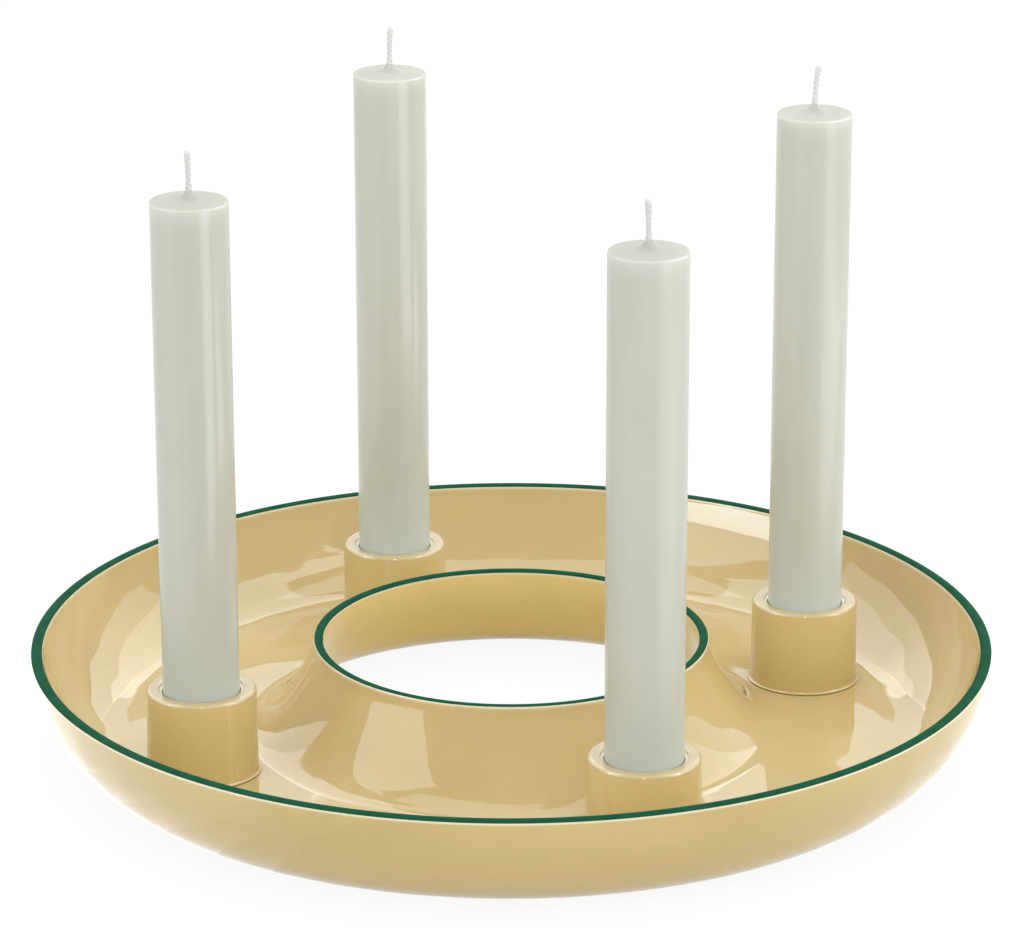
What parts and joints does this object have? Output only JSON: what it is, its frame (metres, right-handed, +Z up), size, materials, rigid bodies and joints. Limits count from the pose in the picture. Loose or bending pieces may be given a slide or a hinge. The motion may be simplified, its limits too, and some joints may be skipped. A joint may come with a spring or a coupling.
{
  "type": "advent wreath tray",
  "caption": "Round glazed ceramic ring dish: a trough round an open hole, for greenery or baubles, with standing cups that hold lift-out candles.",
  "frame": {"origin": "on the surface that the dish stands on, at the centre of the ring", "axes": "+Z up along the ring's axis; -Y towards the viewer of the picture"},
  "size_m": [0.28, 0.28, 0.1945],
  "materials": {
    "glaze": "gloss",
    "wax": "satin",
    "wick": "matte"
  },
  "bodies": {
    "tray": {"dish": "glaze", "cup_right": "glaze", "cup_back": "glaze", "cup_left": "glaze", "cup_front": "glaze"},
    "right_candle": {"candle_right": "wax", "wick_right": "wick"},
    "back_candle": {"candle_back": "wax", "wick_back": "wick"},
    "left_candle": {"candle_left": "wax", "wick_left": "wick"},
    "front_candle": {"candle_front": "wax", "wick_front": "wick"}
  },
  "joints": [
    {"name": "right_candle_lift", "type": "slide", "parent": "tray", "child": "right_candle", "axis": [0, 0, 1], "range_m": [0, 0.03]},
    {"name": "back_candle_lift", "type": "slide", "parent": "tray", "child": "back_candle", "axis": [0, 0, 1], "range_m": [0, 0.03]},
    {"name": "left_candle_lift", "type": "slide", "parent": "tray", "child": "left_candle", "axis": [0, 0, 1], "range_m": [0, 0.03]},
    {"name": "front_candle_lift", "type": "slide", "parent": "tray", "child": "front_candle", "axis": [0, 0, 1], "range_m": [0, 0.03]}
  ]
}
